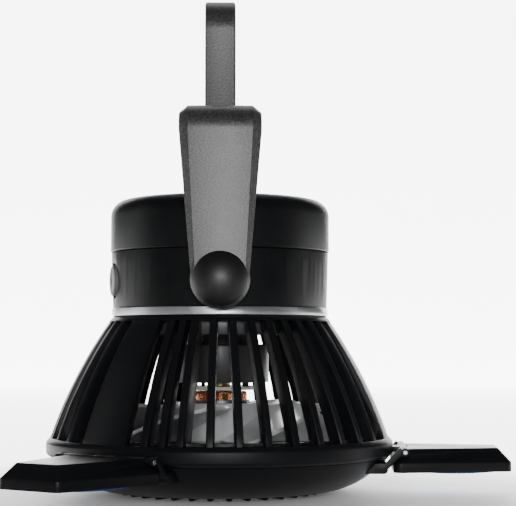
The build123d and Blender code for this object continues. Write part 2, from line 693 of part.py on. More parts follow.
def fan():
    hub = turned_outline(
        (0, HUB_BOTTOM_Z),
        (HUB_RADIUS - 1.2, HUB_BOTTOM_Z),
        (HUB_RADIUS, HUB_BOTTOM_Z + 1.2),
        (HUB_RADIUS, HUB_TOP_Z - 0.4),
        (HUB_RADIUS - 0.4, HUB_TOP_Z),
        (HUB_BORE_RADIUS, HUB_TOP_Z),
        (HUB_BORE_RADIUS, HUB_BOTTOM_Z + 2.0),
        (BEARING_RADIUS, HUB_BOTTOM_Z + 2.0),
        (BEARING_RADIUS, HUB_BOTTOM_Z + 4.0),
        (0, HUB_BOTTOM_Z + 4.0),
    )
    bore = post(HUB_BORE_RADIUS, HUB_BOTTOM_Z + 2.0, HUB_TOP_Z + 5.0)
    blades = [turn(angle, fan_blade()) - bore for angle in around(BLADE_COUNT)]
    shape = hub
    for blade in blades:
        shape += blade
    return shape - post(SHAFT_RADIUS, HUB_BOTTOM_Z + 1.0, HUB_BOTTOM_Z + 5.0)


def rotor_cup():
    return tube(HUB_BORE_RADIUS, HUB_BORE_RADIUS - 0.8, HUB_BOTTOM_Z + 2.0, HUB_TOP_Z - 0.2)


def rotor_magnet():
    outer = HUB_BORE_RADIUS - 0.8
    return tube(outer, CORE_RADIUS + 0.5, HUB_BOTTOM_Z + 4.4, HUB_TOP_Z - 0.6)


def motor_shaft():
    shaft = post(SHAFT_RADIUS, HUB_BOTTOM_Z + 1.0, MOTOR_CUP_Z - 1.0)
    return chamfer(shaft.edges().group_by(Axis.Z)[-1], 0.3)


def shaft_clip():
    """The split washer that keeps the shaft in its upper bearing."""
    washer = tube(2.8, SHAFT_RADIUS, MOTOR_CUP_Z - 2.1, MOTOR_CUP_Z - 1.6)
    return washer - slab(3.0, 1.0, MOTOR_CUP_Z - 3, MOTOR_CUP_Z, x=2.5)


# ---- Handle and hook

def arm_outline(section):
    """Half widths of the flat face and of the whole arm, and the depth of the bevel between them."""
    face_half, half, bevel = section
    right = [(face_half, 0), (half, -bevel), (half, -ARM_THICKNESS)]
    left = [(-x, y) for x, y in reversed(right)]
    return make_face(Polyline(*right, *left, close=True))


def handle_arm():
    """The front arm, its bend and half of the top bar."""
    outer_y = -(ARM_INNER_Y + ARM_THICKNESS)
    bend_z = HANDLE_TOP_Z - HANDLE_BEND
    upright = Plane(origin=(0, outer_y, 0), x_dir=(1, 0, 0), z_dir=(0, 0, 1))
    foot = Pos(0, 0, PIVOT_Z) * (upright * mirror(arm_outline(ARM_FOOT_SECTION), about=Plane.XZ))
    head = Pos(0, 0, bend_z) * (upright * mirror(arm_outline(ARM_HEAD_SECTION), about=Plane.XZ))
    arm = loft([foot, head], ruled=True)
    bend_axis = Axis((0, outer_y + HANDLE_BEND, bend_z), (-1, 0, 0))
    bend = revolve(head, bend_axis, 90)
    flat = Plane(origin=(0, outer_y + HANDLE_BEND, HANDLE_TOP_Z), x_dir=(1, 0, 0), z_dir=(0, -1, 0))
    bar = extrude(flat * arm_outline(ARM_HEAD_SECTION), outer_y + HANDLE_BEND)
    return arm + bend + bar


def arm_end():
    disc = bar_y(ARM_END_RADIUS, -ARM_INNER_Y - ARM_THICKNESS, -ARM_INNER_Y, z=PIVOT_Z)
    rim = disc.edges().filter_by(GeomType.CIRCLE).sort_by(Axis.Y)[0]
    return chamfer(rim, 1.6)


def handle():
    half = handle_arm() + arm_end()
    shape = half + mirror(half, about=Plane.XZ)
    ear_x = HOOK_WIDTH / 2 + GAP / 2 + HOOK_EAR / 2
    for side in (-1, 1):
        ear = bar_x(HOOK_EYE_RADIUS, -HOOK_EAR / 2, HOOK_EAR / 2, y=-HOOK_BEND, z=HOOK_PIVOT_Z)
        foot_height = HOOK_PIVOT_Z - HANDLE_TOP_Z + 1.0
        foot = Pos(0, -HOOK_BEND, HANDLE_TOP_Z - 1.0 + foot_height / 2)
        ear += foot * Box(HOOK_EAR, 2 * HOOK_EYE_RADIUS, foot_height)
        shape += Pos(side * ear_x, 0, 0) * ear
    shape -= bar_x(HOOK_PIN_RADIUS, -30, 30, y=-HOOK_BEND, z=HOOK_PIVOT_Z)
    scoop = bar_x(HOOK_EYE_RADIUS + GAP, -HOOK_WIDTH / 2 - GAP / 2, HOOK_WIDTH / 2 + GAP / 2,
                  y=-HOOK_BEND, z=HOOK_PIVOT_Z)
    shape -= scoop
    reach = ARM_INNER_Y + ARM_THICKNESS + 1
    return shape - bar_y(PIVOT_SCREW_RADIUS + RUNNING, -reach, reach, z=PIVOT_Z)


def knob():
    """The domed cap over the front pivot screw."""
    seat_y = -ARM_INNER_Y - ARM_THICKNESS
    rim = 1.6
    outline = [
        Line((0, 0), (KNOB_RADIUS, 0)),
        Line((KNOB_RADIUS, 0), (KNOB_RADIUS, rim)),
        dome_arc(KNOB_RADIUS, rim, KNOB_HEIGHT),
        Line((0, KNOB_HEIGHT), (0, 0)),
    ]
    dome = revolve(Plane.XZ * make_face(Curve() + outline), Axis.Z)
    dome = Pos(0, seat_y, PIVOT_Z) * Rot(90, 0, 0) * dome
    return dome - bar_y(PIVOT_HEAD_RADIUS + GAP, seat_y - 3.2, seat_y, z=PIVOT_Z)


def pivot_screw():
    seat_y = -ARM_INNER_Y - ARM_THICKNESS - 0.1
    shank = bar_y(PIVOT_SCREW_RADIUS, seat_y, -40.0, z=PIVOT_Z)
    head = bar_y(PIVOT_HEAD_RADIUS, seat_y - 2.6, seat_y, z=PIVOT_Z)
    return shank + head


def pivot_washer():
    washer = bar_y(9.0, -ARM_INNER_Y + 0.1, -PIVOT_PAD_Y, z=PIVOT_Z)
    return washer - bar_y(PIVOT_SCREW_RADIUS, -ARM_INNER_Y, -PIVOT_PAD_Y, z=PIVOT_Z)


def pivot_nut():
    hexagon = Plane.XZ.offset(43.0) * RegularPolygon(4.5, 6)
    nut = Pos(0, 0, PIVOT_Z) * extrude(hexagon, 3.6)
    return nut - bar_y(PIVOT_SCREW_RADIUS, -50.0, -40.0, z=PIVOT_Z)


def hook():
    """A flat strap bent over like a shepherd's crook, with an eye at its foot."""
    middle_bend = HOOK_BEND
    bend_z = HOOK_CREST_Z - HOOK_THICKNESS / 2 - middle_bend
    half = HOOK_THICKNESS / 2
    outer = middle_bend + half
    inner = middle_bend - half
    outline = [
        Line((-outer, HOOK_PIVOT_Z), (-outer, bend_z)),
        ThreePointArc((-outer, bend_z), (0, bend_z + outer), (outer, bend_z)),
        Line((outer, bend_z), (outer, HOOK_TIP_Z)),
        ThreePointArc((outer, HOOK_TIP_Z), (middle_bend, HOOK_TIP_Z - half), (inner, HOOK_TIP_Z)),
        Line((inner, HOOK_TIP_Z), (inner, bend_z)),
        ThreePointArc((inner, bend_z), (0, bend_z + inner), (-inner, bend_z)),
        Line((-inner, bend_z), (-inner, HOOK_PIVOT_Z)),
        Line((-inner, HOOK_PIVOT_Z), (-outer, HOOK_PIVOT_Z)),
    ]
    strap = extrude(Plane.YZ * make_face(Curve() + outline), HOOK_WIDTH / 2, both=True)
    long_edges = [edge for edge in strap.edges() if abs(edge.center().X) > HOOK_WIDTH / 2 - 0.1]
    long_edges = [edge for edge in long_edges if edge.center().Z > HOOK_PIVOT_Z + 1]
    strap = chamfer(long_edges, 0.7)
    eye = bar_x(HOOK_EYE_RADIUS, -HOOK_WIDTH / 2, HOOK_WIDTH / 2, y=-middle_bend, z=HOOK_PIVOT_Z)
    bore = bar_x(HOOK_PIN_RADIUS + RUNNING, -HOOK_WIDTH, HOOK_WIDTH, y=-middle_bend, z=HOOK_PIVOT_Z)
    return strap + eye - bore


def hook_pin():
    reach = HOOK_WIDTH / 2 + GAP / 2 + HOOK_EAR
    pin = bar_x(HOOK_PIN_RADIUS, -reach, reach, y=-HOOK_BEND, z=HOOK_PIVOT_Z)
    return chamfer(pin.edges().filter_by(GeomType.CIRCLE), 0.3)


# ---- Lamp wings

def wing_plan(inset, z):
    """The wing's outline, moved in all round, at a height."""
    lean = (WING_INNER_WIDTH - WING_OUTER_WIDTH) / 2 / (WING_OUTER_X - WING_INNER_X)
    side_inset = inset * (1 + lean ** 2) ** 0.5
    inner_x = WING_INNER_X + inset
    outer_x = WING_OUTER_X - inset
    inner_half = WING_INNER_WIDTH / 2 - lean * inset - side_inset
    outer_half = WING_OUTER_WIDTH / 2 + lean * inset - side_inset
    points = [(inner_x, -inner_half), (outer_x, -outer_half), (outer_x, outer_half), (inner_x, inner_half)]
    face = make_face(Polyline(*points, close=True))
    corner = max(WING_CORNER - inset, 1.2)
    return Pos(0, 0, z) * fillet(face.vertices(), corner)


def wing_prism(inset, low_z, high_z):
    return extrude(wing_plan(inset, low_z), high_z - low_z)


def wing_body(inset, top_z, top_inset):
    rim = wing_prism(inset, WING_RIM_Z, WING_BEVEL_Z)
    return rim + loft([wing_plan(inset, WING_BEVEL_Z), wing_plan(inset + top_inset, top_z)])


def hinge_bar(radius, low_y, high_y):
    """A cylinder on the hinge's axis."""
    return bar_y(radius, low_y, high_y, x=HINGE_X, z=HINGE_Z)


def wing_cover():
    outer = wing_body(0, WING_TOP_Z, WING_BEVEL)
    inner = wing_body(WING_WALL, WING_TOP_Z - WING_WALL, WING_BEVEL - 0.8)
    bosses = [post(2.4, WING_BOARD_TOP_Z, WING_TOP_Z - WING_WALL + 0.2, *spot) for spot in wing_screw_spots()]
    knuckle = hinge_bar(KNUCKLE_RADIUS, -KNUCKLE_HALF_WIDTH, KNUCKLE_HALF_WIDTH)
    shape = outer - inner + bosses + knuckle
    shape -= wing_screw_holes(WING_BOARD_TOP_Z - 0.5, WING_TOP_Z - 2.2)
    shape -= hinge_bar(HINGE_PIN_RADIUS + RUNNING, -40.0, 40.0)
    arm_room = hinge_bar(KNUCKLE_RADIUS + GAP, ARM_LOW_Y - GAP, WING_INNER_WIDTH)
    lug_room = hinge_bar(KNUCKLE_RADIUS + 2 * GAP, -LUG_HALF_WIDTH - GAP, LUG_HALF_WIDTH + GAP)
    return shape - both_sides(arm_room) - lug_room


def wing_screw_spots():
    return [(95.0, -14.0), (95.0, 14.0), (127.0, -8.0), (127.0, 8.0)]


def wing_screw_holes(low_z, high_z):
    return [post(WING_SCREW_RADIUS, low_z, high_z, *spot) for spot in wing_screw_spots()]


def wing_board():
    board = wing_prism(WING_WALL + 1.0, WING_BOARD_Z, WING_BOARD_TOP_Z)
    return board - wing_screw_holes(WING_BOARD_Z, WING_BOARD_TOP_Z)


def wing_leds():
    chips = []
    for column in range(LED_COLUMNS):
        x = 90.0 + 9.6 * column
        for row in range(LED_ROWS):
            y = (row - (LED_ROWS - 1) / 2) * (13.0 - 1.6 * column)
            near_screw = any(abs(x - spot[0]) < 4.4 and abs(y - spot[1]) < 4.4 for spot in wing_screw_spots())
            if not near_screw:
                chips.append(slab(LED_SIZE, LED_SIZE, WING_BOARD_Z - 0.8, WING_BOARD_Z, x, y))
    return group(chips)


def wing_screws():
    """The screws that hold the board up against the cover."""
    screws = []
    for x, y in wing_screw_spots():
        shank = post(WING_SCREW_RADIUS - 0.1, WING_BOARD_Z - 0.5, WING_TOP_Z - 3.4, x, y)
        screws.append(shank + post(1.9, WING_BOARD_Z - 0.9, WING_BOARD_Z, x, y))
    return group(screws)


def lens_ball(radius):
    centre_x = (WING_INNER_X + WING_OUTER_X) / 2
    return Pos(centre_x, 0, LENS_BOTTOM_Z + LENS_CURVE) * Sphere(radius)


def wing_lens():
    """A domed cover over the lamps, set into the rim of the wing."""
    rim_inset = WING_WALL + 0.2
    bowl = wing_prism(rim_inset, LENS_BOTTOM_Z - 1.0, LENS_SEAT_Z) & lens_ball(LENS_CURVE)
    hollow = wing_prism(rim_inset + 1.6, LENS_BOTTOM_Z - 1.0, LENS_SEAT_Z) & lens_ball(LENS_CURVE - 1.6)
    lip = wing_prism(0.6, WING_RIM_Z - 0.9, WING_RIM_Z) & lens_ball(LENS_CURVE)
    return bowl + lip - hollow


def wing_bracket():
    """The fixed half of the hinge: a block on the grille's flank and two arms up to the pin."""
    lean = (WING_BEVEL, WING_TOP_Z - WING_BEVEL_Z)
    length = (lean[0] ** 2 + lean[1] ** 2) ** 0.5
    along = (lean[0] / length, lean[1] / length)
    thick = 2.6
    shift = 0.5 + thick / 2
    head = (HINGE_X - along[1] * shift, HINGE_Z + along[0] * shift)
    reach = (head[1] - 13.2) / along[1]
    foot = (head[0] - along[0] * reach, 13.2)
    side = (along[1] * thick / 2, -along[0] * thick / 2)
    strip = make_face(Polyline(
        (head[0] + side[0], head[1] + side[1]),
        (head[0] - side[0], head[1] - side[1]),
        (foot[0] - side[0], foot[1] - side[1]),
        (foot[0] + side[0], foot[1] + side[1]),
        close=True,
    ))
    half_width = ARM_HIGH_Y - ARM_LOW_Y
    arm = Pos(0, ARM_HIGH_Y, 0) * extrude(Plane.XZ * strip, half_width)
    arm += hinge_bar(KNUCKLE_RADIUS, ARM_LOW_Y, ARM_HIGH_Y)
    arms = both_sides(arm)
    block = slab(16.0, 2 * ARM_HIGH_Y, 10.6, 15.4, x=foot[0] + side[0] + 0.4 - 8.0)
    block_edges = [edge for edge in block.edges().filter_by(Axis.Y) if edge.center().X > foot[0]]
    block = fillet(block_edges, 2.0)
    bowl = grille_envelope()
    shape = block + arms - bowl
    return shape - hinge_bar(HINGE_PIN_RADIUS, -40.0, 40.0)


def grille_envelope():
    """The grille's bowl as a full body, and the ring above it with a little room."""
    outer = ThreePointArc((GRILLE_RADIUS, GRILLE_TOP_Z), GRILLE_BELLY, (GRILLE_FLAT_RADIUS, GRILLE_PLATE_Z))
    rest = Polyline(outer @ 1, (0, GRILLE_PLATE_Z), (0, GRILLE_TOP_Z), outer @ 0)
    return turned(outer, rest)


def wing_pin():
    pin = hinge_bar(HINGE_PIN_RADIUS, -ARM_HIGH_Y - 0.4, ARM_HIGH_Y + 0.4)
    return chamfer(pin.edges().filter_by(GeomType.CIRCLE), 0.3)


# ---- Writing the nodes

def wing_nodes():
    makers = {
        "wing_bracket": wing_bracket,
        "wing_pin": wing_pin,
        "wing_cover": wing_cover,
        "wing_board": wing_board,
        "wing_leds": wing_leds,
        "wing_screws": wing_screws,
        "wing_lens": wing_lens,
    }
    nodes = {}
    for name, maker in makers.items():
        shape = maker()
        for place, angle in enumerate(around(WING_COUNT, WING_ANGLE)):
            nodes[f"{name}_{place + 1}"] = turn(angle, shape)
    return nodes


def all_nodes():
    makers = [
        front_grille, outer_ring, grille_screws, cage, wing_leads, trim_ring, lower_housing, lid,
        housing_screws, button, switch_board, power_switch, control_board, board_parts, charge_socket,
        battery_tray, battery_cells, battery_tabs, tray_screws, motor_bracket, motor_board, motor_leads,
        bearing_tube, bearings, stator_core, stator_windings, fan, rotor_cup, rotor_magnet, motor_shaft,
        shaft_clip, handle, hook, hook_pin,
    ]
    nodes = {maker.__name__: maker() for maker in makers}
    nodes["pivot_knobs"] = group(both_sides(knob()))
    nodes["pivot_screws"] = group(both_sides(pivot_screw()))
    nodes["pivot_washers"] = group(both_sides(pivot_washer()))
    nodes["pivot_nuts"] = group(both_sides(pivot_nut()))
    nodes.update(wing_nodes())
    return nodes


os.makedirs("parts", exist_ok=True)
for node_name, node_shape in all_nodes().items():
    export_step(node_shape, f"parts/{node_name}.step")
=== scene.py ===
"""A camping fan lantern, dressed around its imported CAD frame. Metres, +Z up, in the frame's own axes."""
import json
import math
import random

import bmesh
import bpy
from mathutils import Matrix, Vector


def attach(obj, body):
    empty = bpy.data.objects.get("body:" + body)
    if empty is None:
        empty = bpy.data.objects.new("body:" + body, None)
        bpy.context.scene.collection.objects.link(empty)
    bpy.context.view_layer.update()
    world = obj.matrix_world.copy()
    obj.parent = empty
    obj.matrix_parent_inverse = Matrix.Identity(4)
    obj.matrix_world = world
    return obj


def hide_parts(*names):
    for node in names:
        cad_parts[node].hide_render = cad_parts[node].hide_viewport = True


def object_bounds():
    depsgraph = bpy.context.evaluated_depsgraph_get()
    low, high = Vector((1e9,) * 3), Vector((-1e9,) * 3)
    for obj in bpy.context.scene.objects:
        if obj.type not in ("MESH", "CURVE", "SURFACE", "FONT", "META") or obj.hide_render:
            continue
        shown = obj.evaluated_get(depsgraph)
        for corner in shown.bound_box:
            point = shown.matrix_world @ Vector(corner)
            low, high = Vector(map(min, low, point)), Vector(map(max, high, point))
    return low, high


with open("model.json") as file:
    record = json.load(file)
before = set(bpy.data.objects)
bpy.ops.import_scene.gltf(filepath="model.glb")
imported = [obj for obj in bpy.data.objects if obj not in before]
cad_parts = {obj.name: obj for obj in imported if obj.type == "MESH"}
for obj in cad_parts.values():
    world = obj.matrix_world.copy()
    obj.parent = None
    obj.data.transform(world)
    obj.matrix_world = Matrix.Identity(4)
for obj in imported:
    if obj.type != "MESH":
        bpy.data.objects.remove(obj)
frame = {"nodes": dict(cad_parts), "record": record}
CAD_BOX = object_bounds()
NODES = frame["nodes"]
RECORD = frame["record"]
BODY_OF = {node: body for body, nodes in RECORD["behaviour"]["bodies"].items() for node in nodes}
SLOT_OF = {entry["node"]: entry["material_slot"] for entry in RECORD["subparts"]}
MM = 0.001
SCENE = bpy.context.scene


# ---- Camera, floor and light

CAMERA_DISTANCE = 0.723
CAMERA_HEIGHT = 0.071
CAMERA_PITCH = math.radians(3.40)
CAMERA_YAW = math.radians(1.45)
FOCAL_LENGTH_MM = 104.65
SENSOR_WIDTH_MM = 36.0

WORLD_COLOUR = (0.98, 0.99, 1.0, 1.0)
WORLD_STRENGTH = 0.07
LIGHT_TARGET = (0.0, 0.0, 0.10)
FLOOR_HALF_WIDTH = 6.0
BACKDROP_HALF_WIDTH = 0.9
BACKDROP_Y = 1.7
BACKDROP_TOP_Z = 1.2
UNDER_FLOOR = 0.0002


def make_camera():
    """The camera of the front view, a little above the floor and looking slightly up."""
    data = bpy.data.cameras.new("camera")
    data.lens = FOCAL_LENGTH_MM
    data.sensor_width = SENSOR_WIDTH_MM
    camera = bpy.data.objects.new("camera", data)
    camera.location = (0.0, -CAMERA_DISTANCE, CAMERA_HEIGHT)
    camera.rotation_euler = (math.pi / 2 + CAMERA_PITCH, 0.0, -CAMERA_YAW)
    SCENE.collection.objects.link(camera)
    SCENE.camera = camera


def softbox(name, place, size, power):
    """A rectangular white light that looks at the lantern, with its size in metres."""
    data = bpy.data.lights.new(name, "AREA")
    data.shape = "RECTANGLE"
    data.size = size[0]
    data.size_y = size[1]
    data.energy = power
    light = bpy.data.objects.new(name, data)
    light.location = place
    direction = Vector(LIGHT_TARGET) - Vector(place)
    light.rotation_euler = direction.to_track_quat("-Z", "Y").to_euler()
    SCENE.collection.objects.link(light)


def staged_sheet(name, corners, material):
    """A flat part of the studio."""
    mesh = bpy.data.meshes.new(name)
    mesh.from_pydata(corners, [], [(0, 1, 2, 3)])
    sheet = bpy.data.objects.new(name, mesh)
    SCENE.collection.objects.link(sheet)
    mesh.materials.append(material)


def make_studio():
    """A dim world, four softboxes, a pale floor and a bright backdrop."""
    world = bpy.data.worlds.new("studio")
    world.use_nodes = True
    background = world.node_tree.nodes["Background"]
    background.inputs["Color"].default_value = WORLD_COLOUR
    background.inputs["Strength"].default_value = WORLD_STRENGTH
    SCENE.world = world
    softbox("front_box", (0.06, -1.5, 0.30), (0.50, 0.28), 11.0)
    softbox("left_box", (-1.25, 0.10, 0.35), (0.25, 0.9), 1.0)
    softbox("right_box", (1.25, 0.10, 0.35), (0.25, 0.9), 0.4)
    softbox("top_box", (0.0, 0.7, 1.2), (0.9, 0.5), 3.0)

    low = CAD_BOX[0][2] - UNDER_FLOOR
    half = FLOOR_HALF_WIDTH
    staged_sheet("floor", [(-half, -half, low), (half, -half, low), (half, half, low), (-half, half, low)],
                 floor_material())
    side, back, high = BACKDROP_HALF_WIDTH, BACKDROP_Y, BACKDROP_TOP_Z
    staged_sheet("backdrop", [(-side, back, low), (side, back, low), (side, back, high), (-side, back, high)],
                 backdrop_material())


# ---- Materials

class Graph:
    """A material's node tree, with short ways to add and link nodes."""

    def __init__(self, name):
        self.material = bpy.data.materials.new(name)
        self.material.use_nodes = True
        self.tree = self.material.node_tree
        self.shader = self.tree.nodes["Principled BSDF"]
        self.place = self.add("ShaderNodeTexCoord").outputs["Object"]

    def add(self, kind, **settings):
        node = self.tree.nodes.new(kind)
        for key, value in settings.items():
            setattr(node, key, value)
        return node

    def link(self, source, target):
        self.tree.links.new(source, target)

    def noise(self, feature_mm, detail=3.0, roughness=0.55):
        """Noise whose features are about this many millimetres across."""
        node = self.add("ShaderNodeTexNoise")
        node.inputs["Scale"].default_value = 1.0 / (feature_mm * MM)
        node.inputs["Detail"].default_value = detail
        node.inputs["Roughness"].default_value = roughness
        self.link(self.place, node.inputs["Vector"])
        return node.outputs["Fac"]

    def remap(self, value, low, high, to_low, to_high):
        node = self.add("ShaderNodeMapRange")
        limits = {"From Min": low, "From Max": high, "To Min": to_low, "To Max": to_high}
        for socket, number in limits.items():
            node.inputs[socket].default_value = number
        self.link(value, node.inputs["Value"])
        return node.outputs["Result"]

    def math(self, operation, first, second):
        node = self.add("ShaderNodeMath", operation=operation)
        for socket, value in zip(node.inputs, (first, second)):
            if isinstance(value, (int, float)):
                socket.default_value = value
            else:
                self.link(value, socket)
        return node.outputs["Value"]

    def mix(self, factor, first, second):
        node = self.add("ShaderNodeMix", data_type="RGBA")
        self.link(factor, node.inputs["Factor"])
        for socket, value in ((node.inputs[6], first), (node.inputs[7], second)):
            if isinstance(value, tuple):
                socket.default_value = (*value, 1.0)
            else:
                self.link(value, socket)
        return node.outputs[2]

    def edges(self, width_mm):
        """1 along the surface's outer and inner edges, 0 on its open faces."""
        bevel = self.add("ShaderNodeBevel", samples=6)
        bevel.inputs["Radius"].default_value = width_mm * MM
        dot = self.add("ShaderNodeVectorMath", operation="DOT_PRODUCT")
        self.link(bevel.outputs["Normal"], dot.inputs[0])
        self.link(self.add("ShaderNodeNewGeometry").outputs["Normal"], dot.inputs[1])
        return self.remap(dot.outputs["Value"], 0.985, 0.80, 0.0, 1.0)

    def bump(self, height, strength, depth_mm):
        node = self.add("ShaderNodeBump")
        node.inputs["Strength"].default_value = strength
        node.inputs["Distance"].default_value = depth_mm * MM
        self.link(height, node.inputs["Height"])
        self.link(node.outputs["Normal"], self.shader.inputs["Normal"])

    def set(self, **values):
        for name, value in values.items():
            self.shader.inputs[name.replace("_", " ")].default_value = value


def scaled(colour, factor):
    return tuple(min(channel * factor, 1.0) for channel in colour)


def moulded(
    name, colour, rough, grain_mm=0.35, grain=0.25, grain_depth=0.05, wear=0.35, spread=0.16,
    rough_drift=0.02, speckle=0.0, **settings
):
    """Injection-moulded plastic: fine grain, slow colour drift, and paler rubbed edges."""
    graph = Graph(name)
    drift = graph.noise(14.0, detail=4.0)
    cloud = graph.remap(drift, 0.3, 0.7, 0.0, 1.0)
    body = graph.mix(cloud, scaled(colour, 1 - spread), scaled(colour, 1 + spread))
    fine = graph.noise(grain_mm, detail=2.0)
    if speckle:
        spots = graph.remap(fine, 0.42, 0.62, 0.0, speckle)
        body = graph.mix(spots, body, scaled(colour, 6.0))
    speck = graph.noise(2.2, detail=5.0, roughness=0.7)
    rubbed = graph.math("MULTIPLY", graph.edges(0.5), graph.remap(speck, 0.42, 0.62, 0.0, wear))
    pale = tuple(channel * 1.6 + 0.030 for channel in colour)
    graph.link(graph.mix(rubbed, body, pale), graph.shader.inputs["Base Color"])
    smudge = graph.noise(7.0, detail=3.0)
    worn = graph.remap(smudge, 0.3, 0.7, rough - rough_drift, rough + rough_drift)
    graph.link(worn, graph.shader.inputs["Roughness"])
    graph.bump(fine, grain, grain_depth)
    graph.set(**{"Specular_IOR_Level": 0.18, **settings})
    return graph.material


def metal(name, colour, rough, brush_mm=0.3, stretch=(1.0, 1.0, 12.0), **settings):
    """Bare or plated metal with fine drawn lines."""
    graph = Graph(name)
    mapping = graph.add("ShaderNodeMapping")
    mapping.inputs["Scale"].default_value = stretch
    graph.link(graph.place, mapping.inputs["Vector"])
    lines = graph.add("ShaderNodeTexNoise")
    lines.inputs["Scale"].default_value = 1.0 / (brush_mm * MM * max(stretch))
    lines.inputs["Detail"].default_value = 3.0
    graph.link(mapping.outputs["Vector"], lines.inputs["Vector"])
    stain = graph.remap(graph.noise(5.0, detail=4.0), 0.35, 0.7, 0.0, 1.0)
    graph.link(
        graph.mix(stain, scaled(colour, 1.06), scaled(colour, 0.78)), graph.shader.inputs["Base Color"]
    )
    graph.link(
        graph.remap(lines.outputs["Fac"], 0.3, 0.7, rough - 0.06, rough + 0.10),
        graph.shader.inputs["Roughness"],
    )
    graph.bump(lines.outputs["Fac"], 0.12, 0.03)
    graph.set(Metallic=1.0, **settings)
    return graph.material


def board(name, colour, copper):
    """A circuit board: solder mask over faint tracks, with small pads."""
    graph = Graph(name)
    tracks = graph.add("ShaderNodeTexBrick")
    tracks.inputs["Scale"].default_value = 150.0
    tracks.inputs["Mortar Size"].default_value = 0.03
    tracks.inputs["Color1"].default_value = (*colour, 1.0)
    tracks.inputs["Color2"].default_value = (*scaled(colour, 0.86), 1.0)
    tracks.inputs["Mortar"].default_value = (*copper, 1.0)
    graph.link(graph.place, tracks.inputs["Vector"])
    dust = graph.remap(graph.noise(3.0, detail=4.0), 0.4, 0.75, 0.0, 0.35)
    graph.link(
        graph.mix(dust, tracks.outputs["Color"], scaled(colour, 0.7)), graph.shader.inputs["Base Color"]
    )
    graph.link(graph.remap(graph.noise(1.5), 0.3, 0.7, 0.30, 0.45), graph.shader.inputs["Roughness"])
    graph.bump(tracks.outputs["Fac"], 0.2, 0.03)
    return graph.material


def enamelled_copper():
    """Copper wire under clear enamel, darker in places."""
    graph = Graph("enamelled_copper")
    tone = graph.remap(graph.noise(1.6, detail=4.0), 0.3, 0.7, 0.0, 1.0)
    graph.link(graph.mix(tone, (0.80, 0.36, 0.18), (0.50, 0.17, 0.07)), graph.shader.inputs["Base Color"])
    graph.link(graph.remap(graph.noise(0.8), 0.3, 0.7, 0.20, 0.36), graph.shader.inputs["Roughness"])
    graph.bump(graph.noise(0.25), 0.15, 0.03)
    graph.set(Metallic=0.85, Coat_Weight=0.5, Coat_Roughness=0.15)
    return graph.material


def blue_lens():
    """Dark blue translucent plastic, glossy, with faint flow lines."""
    graph = Graph("blue_lens")
    flow = graph.remap(graph.noise(9.0, detail=3.0), 0.3, 0.7, 0.0, 1.0)
    graph.link(
        graph.mix(flow, (0.006, 0.045, 0.20), (0.012, 0.080, 0.32)), graph.shader.inputs["Base Color"]
    )
    graph.link(graph.remap(graph.noise(5.0), 0.3, 0.7, 0.10, 0.20), graph.shader.inputs["Roughness"])
    graph.bump(graph.noise(1.2, detail=2.0), 0.06, 0.04)
    graph.set(Coat_Weight=0.7, Coat_Roughness=0.06, IOR=1.56)
    return graph.material


def silver_paint():
    """Satin silver paint with small metal flakes."""
    graph = Graph("silver_paint")
    flakes = graph.add("ShaderNodeTexVoronoi")
    flakes.inputs["Scale"].default_value = 1.0 / (0.16 * MM)
    graph.link(graph.place, flakes.inputs["Vector"])
    glint = graph.remap(flakes.outputs["Distance"], 0.1, 0.7, 1.0, 0.0)
    graph.link(graph.mix(glint, (0.50, 0.51, 0.52), (0.70, 0.71, 0.72)), graph.shader.inputs["Base Color"])
    graph.link(graph.remap(graph.noise(4.0), 0.3, 0.7, 0.28, 0.40), graph.shader.inputs["Roughness"])
    graph.bump(graph.noise(0.3), 0.1, 0.03)
    graph.set(Metallic=0.85)
    return graph.material


FLOOR_GLOW = 4.0
FLOOR_GLOW_IN_FRONT = 0.05
GLOW_START_Y = -0.12
GLOW_FULL_Y = 0.12
# SHADE_RADIUS to SHADE_LEAST shape a painted shadow: the floor's glow drops near the lantern.
SHADE_RADIUS = 0.05
SHADE_END_RADIUS = 0.24
SHADE_LEAST = 0.05
BACKDROP_GLOW = 5.5


def paper(name):
    """The graph of a pale, slightly cloudy paper that can glow."""
    graph = Graph(name)
    cloud = graph.remap(graph.noise(300.0), 0.3, 0.7, 0.0, 1.0)
    graph.link(graph.mix(cloud, (0.88, 0.88, 0.88), (0.90, 0.90, 0.90)), graph.shader.inputs["Base Color"])
    graph.link(graph.remap(graph.noise(40.0), 0.3, 0.7, 0.55, 0.65), graph.shader.inputs["Roughness"])
    graph.set(Emission_Color=(1.0, 1.0, 1.0, 1.0))
    return graph


def floor_material():
    """Pale paper that glows beside and behind the lantern, with a painted shadow pool under it: the glow is
    dimmed close to the lantern's axis.
    """
    graph = paper("pale_floor")
    split = graph.add("ShaderNodeSeparateXYZ")
    graph.link(graph.place, split.inputs["Vector"])
    behind = graph.remap(split.outputs["Y"], GLOW_START_Y, GLOW_FULL_Y, FLOOR_GLOW_IN_FRONT, FLOOR_GLOW)
    length = graph.add("ShaderNodeVectorMath", operation="LENGTH")
    graph.link(graph.place, length.inputs[0])
    # Painted shadow pool: the glow falls to SHADE_LEAST near the lantern's axis and rises to full by
    # SHADE_END_RADIUS.
    painted_shadow_pool = graph.remap(length.outputs["Value"], SHADE_RADIUS, SHADE_END_RADIUS, SHADE_LEAST, 1.0)
    graph.link(graph.math("MULTIPLY", behind, painted_shadow_pool), graph.shader.inputs["Emission Strength"])
    return graph.material


def backdrop_material():
    """The same paper, glowing evenly."""
    graph = paper("backdrop_paper")
    graph.set(Emission_Strength=BACKDROP_GLOW)
    return graph.material


